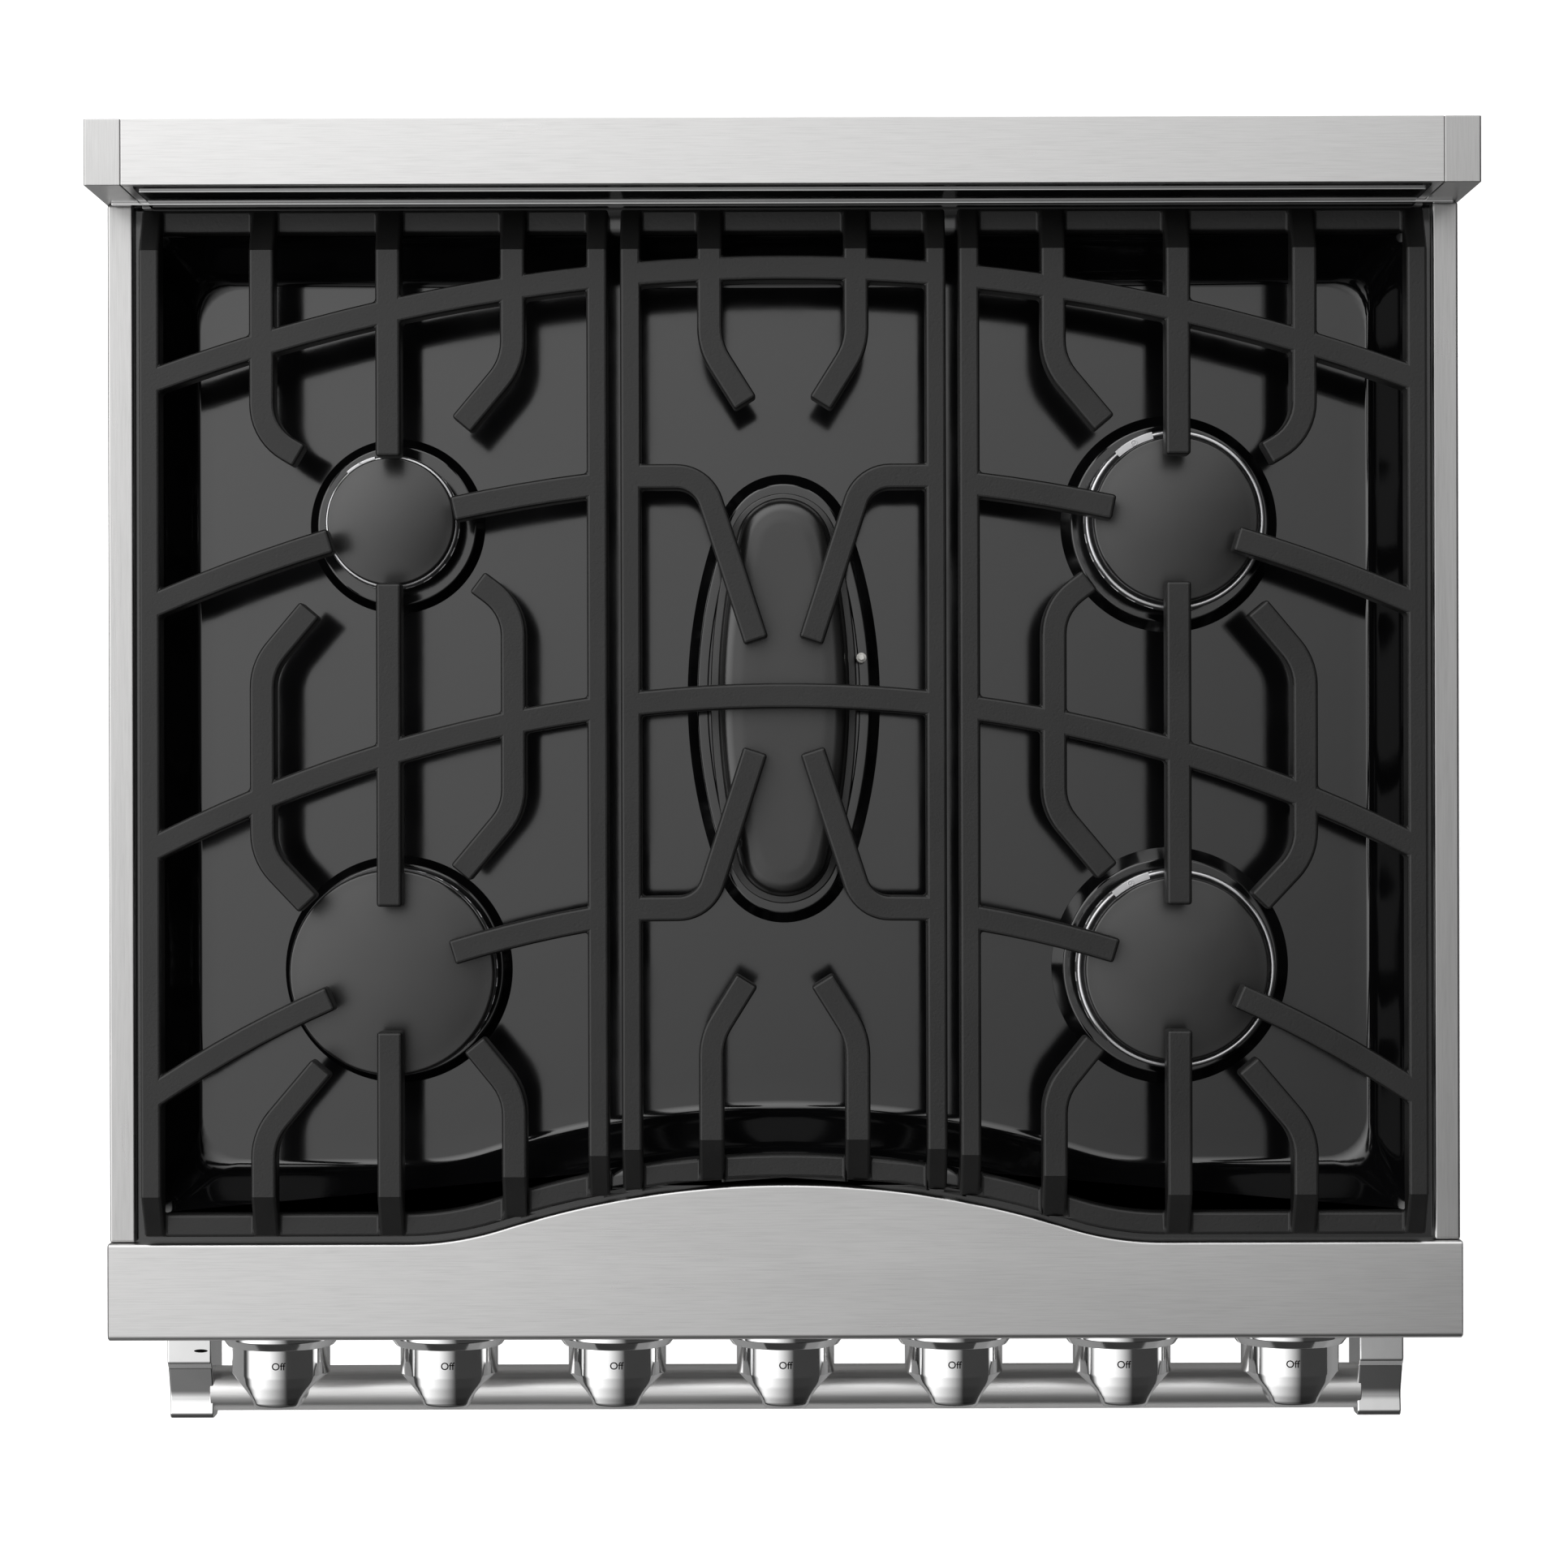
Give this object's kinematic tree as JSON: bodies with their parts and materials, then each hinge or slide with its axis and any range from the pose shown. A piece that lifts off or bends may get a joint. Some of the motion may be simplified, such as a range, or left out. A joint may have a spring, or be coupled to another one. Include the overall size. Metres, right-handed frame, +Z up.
{
  "type": "freestanding gas range",
  "caption": "Freestanding gas range with recessed cooktop, cast grates, round and oval burners, knob row, tube handle, hinged oven door, sliding racks and low back trim.",
  "frame": {"origin": "centre of the bounding box at floor level", "axes": "+Z up, front (door and knobs) toward -Y, +X to the right seen from the front"},
  "size_m": [0.759, 0.7468, 0.98],
  "materials": {
    "stainless": "brushed",
    "steel_trim": "brushed fine",
    "chrome": "polished",
    "cast_iron": "matte black enamel",
    "cap_enamel": "matte black enamel",
    "black_enamel": "gloss enamel",
    "oven_enamel": "speckled gloss enamel",
    "side_paint": "satin powder coat",
    "zinc_sheet": "plated sheet",
    "aluminium": "cast, satin",
    "ceramic": "fired",
    "steel_wire": "plated wire",
    "dark_steel": "heat tinted",
    "glass": "tinted",
    "gasket": "woven fibre",
    "brass": "machined"
  },
  "bodies": {
    "range": {"side_panel_left": "side_paint", "side_panel_right": "side_paint", "back_panel": "zinc_sheet", "chassis_base": "zinc_sheet", "levelling_legs": "steel_trim", "kick_panel": "stainless", "control_panel": "stainless", "landing_ledge": "stainless", "side_trim_left": "steel_trim", "side_trim_right": "steel_trim", "back_trim": "stainless", "back_trim_caps": "steel_trim", "cooktop_pan": "black_enamel", "igniters": "ceramic", "oven_liner": "oven_enamel", "rack_guides": "steel_wire", "oven_floor": "oven_enamel", "bake_burner": "dark_steel", "broil_burner": "dark_steel", "fan_cover": "oven_enamel", "gas_manifold": "steel_trim", "burner_valves": "brass", "gas_regulator": "aluminium", "knob_bezels": "chrome", "burner_head_left_front": "aluminium", "burner_head_left_rear": "aluminium", "burner_head_center": "cap_enamel", "burner_head_right_rear": "aluminium", "burner_head_right_front": "aluminium"},
    "door": {"door_skin": "stainless", "door_liner": "oven_enamel", "door_glass": "glass", "door_gasket": "gasket", "door_hinges": "dark_steel", "handle_tube": "stainless", "handle_bracket_left": "chrome", "handle_bracket_right": "chrome"},
    "rack_upper": {"oven_rack_upper": "steel_wire"},
    "rack_lower": {"oven_rack_lower": "steel_wire"},
    "grate_left": {"grate_left": "cast_iron"},
    "grate_center": {"grate_center": "cast_iron"},
    "grate_right": {"grate_right": "cast_iron"},
    "fan": {"fan_wheel": "dark_steel"},
    "cap_left_front": {"burner_cap_left_front": "cap_enamel"},
    "cap_left_rear": {"burner_cap_left_rear": "cap_enamel"},
    "cap_center": {"burner_cap_center": "cap_enamel"},
    "cap_right_rear": {"burner_cap_right_rear": "cap_enamel"},
    "cap_right_front": {"burner_cap_right_front": "cap_enamel"},
    "knob_left_front": {"knob_left_front": "chrome"},
    "stem_left_front": {"valve_stem_left_front": "brass"},
    "knob_left_rear": {"knob_left_rear": "chrome"},
    "stem_left_rear": {"valve_stem_left_rear": "brass"},
    "knob_center": {"knob_center": "chrome"},
    "stem_center": {"valve_stem_center": "brass"},
    "knob_oven_temperature": {"knob_oven_temperature": "chrome"},
    "knob_oven_mode": {"knob_oven_mode": "chrome"},
    "knob_right_rear": {"knob_right_rear": "chrome"},
    "stem_right_rear": {"valve_stem_right_rear": "brass"},
    "knob_right_front": {"knob_right_front": "chrome"},
    "stem_right_front": {"valve_stem_right_front": "brass"}
  },
  "joints": [
    {"name": "door_hinge", "type": "hinge", "parent": "range", "child": "door", "pos_m": [0, -0.27, 0.142], "axis": [1, 0, 0], "range_deg": [0, 90], "stiffness_Nm_per_rad": 30, "springref_deg": -11.46},
    {"name": "rack_upper_slide", "type": "slide", "parent": "range", "child": "rack_upper", "axis": [0, -1, 0], "range_m": [0, 0.32]},
    {"name": "rack_lower_slide", "type": "slide", "parent": "range", "child": "rack_lower", "axis": [0, -1, 0], "range_m": [0, 0.18]},
    {"name": "fan_spin", "type": "hinge", "parent": "range", "child": "fan", "pos_m": [0, 0.24, 0.47], "axis": [0, 1, 0], "continuous": true},
    {"name": "grate_left_lift", "type": "slide", "parent": "range", "child": "grate_left", "axis": [0, 0, 1], "range_m": [0, 0.12]},
    {"name": "grate_center_lift", "type": "slide", "parent": "range", "child": "grate_center", "axis": [0, 0, 1], "range_m": [0, 0.12]},
    {"name": "grate_right_lift", "type": "slide", "parent": "range", "child": "grate_right", "axis": [0, 0, 1], "range_m": [0, 0.12]},
    {"name": "cap_left_front_lift", "type": "slide", "parent": "range", "child": "cap_left_front", "axis": [0, 0, 1], "range_m": [0, 0.061]},
    {"name": "cap_left_rear_lift", "type": "slide", "parent": "range", "child": "cap_left_rear", "axis": [0, 0, 1], "range_m": [0, 0.061]},
    {"name": "cap_center_lift", "type": "slide", "parent": "range", "child": "cap_center", "axis": [0, 0, 1], "range_m": [0, 0.061]},
    {"name": "cap_right_rear_lift", "type": "slide", "parent": "range", "child": "cap_right_rear", "axis": [0, 0, 1], "range_m": [0, 0.061]},
    {"name": "cap_right_front_lift", "type": "slide", "parent": "range", "child": "cap_right_front", "axis": [0, 0, 1], "range_m": [0, 0.061]},
    {"name": "stem_left_front_turn", "type": "hinge", "parent": "range", "child": "stem_left_front", "pos_m": [-0.2904, -0.3, 0.856], "axis": [0, -1, 0], "range_deg": [0, 240]},
    {"name": "knob_left_front_push", "type": "slide", "parent": "stem_left_front", "child": "knob_left_front", "axis": [0, 1, 0], "range_m": [0, 0.003], "stiffness_N_per_m": 1500, "springref_m": -0.001},
    {"name": "stem_left_rear_turn", "type": "hinge", "parent": "range", "child": "stem_left_rear", "pos_m": [-0.1936, -0.3, 0.856], "axis": [0, -1, 0], "range_deg": [0, 240]},
    {"name": "knob_left_rear_push", "type": "slide", "parent": "stem_left_rear", "child": "knob_left_rear", "axis": [0, 1, 0], "range_m": [0, 0.003], "stiffness_N_per_m": 1500, "springref_m": -0.001},
    {"name": "stem_center_turn", "type": "hinge", "parent": "range", "child": "stem_center", "pos_m": [-0.0968, -0.3, 0.856], "axis": [0, -1, 0], "range_deg": [0, 240]},
    {"name": "knob_center_push", "type": "slide", "parent": "stem_center", "child": "knob_center", "axis": [0, 1, 0], "range_m": [0, 0.003], "stiffness_N_per_m": 1500, "springref_m": -0.001},
    {"name": "knob_oven_temperature_turn", "type": "hinge", "parent": "range", "child": "knob_oven_temperature", "pos_m": [0, -0.3, 0.856], "axis": [0, 1, 0], "range_deg": [0, 300]},
    {"name": "knob_oven_mode_turn", "type": "hinge", "parent": "range", "child": "knob_oven_mode", "pos_m": [0.0968, -0.3, 0.856], "axis": [0, 1, 0], "range_deg": [0, 270]},
    {"name": "stem_right_rear_turn", "type": "hinge", "parent": "range", "child": "stem_right_rear", "pos_m": [0.1936, -0.3, 0.856], "axis": [0, -1, 0], "range_deg": [0, 240]},
    {"name": "knob_right_rear_push", "type": "slide", "parent": "stem_right_rear", "child": "knob_right_rear", "axis": [0, 1, 0], "range_m": [0, 0.003], "stiffness_N_per_m": 1500, "springref_m": -0.001},
    {"name": "stem_right_front_turn", "type": "hinge", "parent": "range", "child": "stem_right_front", "pos_m": [0.2904, -0.3, 0.856], "axis": [0, -1, 0], "range_deg": [0, 240]},
    {"name": "knob_right_front_push", "type": "slide", "parent": "stem_right_front", "child": "knob_right_front", "axis": [0, 1, 0], "range_m": [0, 0.003], "stiffness_N_per_m": 1500, "springref_m": -0.001}
  ],
  "couplings": [
    {"joint": "rack_upper_slide", "follows": "door_hinge", "m_per_rad": 0.2},
    {"joint": "rack_lower_slide", "follows": "door_hinge", "m_per_rad": 0.11},
    {"joint": "cap_left_front_lift", "follows": "grate_left_lift", "ratio": 0.5},
    {"joint": "cap_left_rear_lift", "follows": "grate_left_lift", "ratio": 0.5},
    {"joint": "cap_center_lift", "follows": "grate_center_lift", "ratio": 0.5},
    {"joint": "cap_right_rear_lift", "follows": "grate_right_lift", "ratio": 0.5},
    {"joint": "cap_right_front_lift", "follows": "grate_right_lift", "ratio": 0.5}
  ]
}
